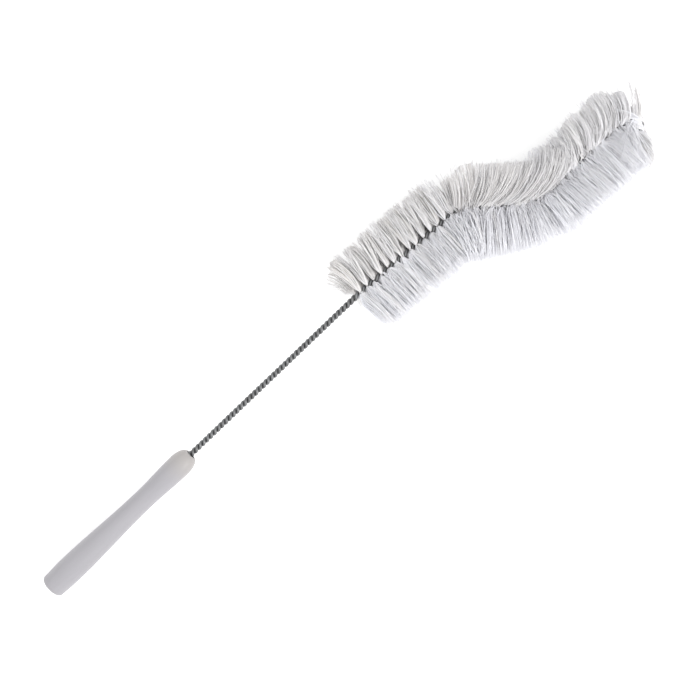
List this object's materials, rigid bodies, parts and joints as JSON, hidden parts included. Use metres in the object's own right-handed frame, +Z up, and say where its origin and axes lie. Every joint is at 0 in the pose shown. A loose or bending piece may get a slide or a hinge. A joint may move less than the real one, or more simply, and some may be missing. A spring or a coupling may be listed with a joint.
{
  "type": "bottle brush",
  "caption": "Twisted-in-wire bottle brush with bent, hooked nylon head, bare twisted stem and a waisted white plastic handle, lying flat.",
  "frame": {"origin": "middle of the whole brush's box in plan, on the table it lies on", "axes": "+X from the butt of the handle towards the bristles, +Z up from the table, so +Y is on the left of the brush"},
  "size_m": [0.4137, 0.0834, 0.043],
  "materials": {
    "handle": "satin",
    "wire": "satin",
    "bristle": "satin"
  },
  "bodies": {
    "root": {"handle": "handle", "stem_wire": "wire", "tuft_01": "bristle", "tuft_02": "bristle", "tuft_03": "bristle", "tuft_04": "bristle", "tuft_05": "bristle", "tuft_06": "bristle", "tuft_07": "bristle", "tuft_08": "bristle", "tuft_09": "bristle", "tuft_10": "bristle", "tuft_11": "bristle", "tuft_12": "bristle", "tuft_13": "bristle", "tuft_14": "bristle", "tuft_15": "bristle", "tuft_16": "bristle", "tuft_17": "bristle", "tuft_18": "bristle", "tuft_19": "bristle", "tuft_20": "bristle", "tuft_21": "bristle", "tuft_22": "bristle", "tuft_23": "bristle", "tuft_24": "bristle", "tuft_25": "bristle", "tuft_26": "bristle", "tuft_27": "bristle", "tuft_28": "bristle", "tuft_29": "bristle", "tuft_30": "bristle", "tuft_31": "bristle", "tuft_32": "bristle", "tuft_33": "bristle", "tuft_34": "bristle", "tuft_35": "bristle", "tuft_36": "bristle", "tuft_37": "bristle", "tuft_38": "bristle", "tuft_39": "bristle"}
  },
  "joints": []
}
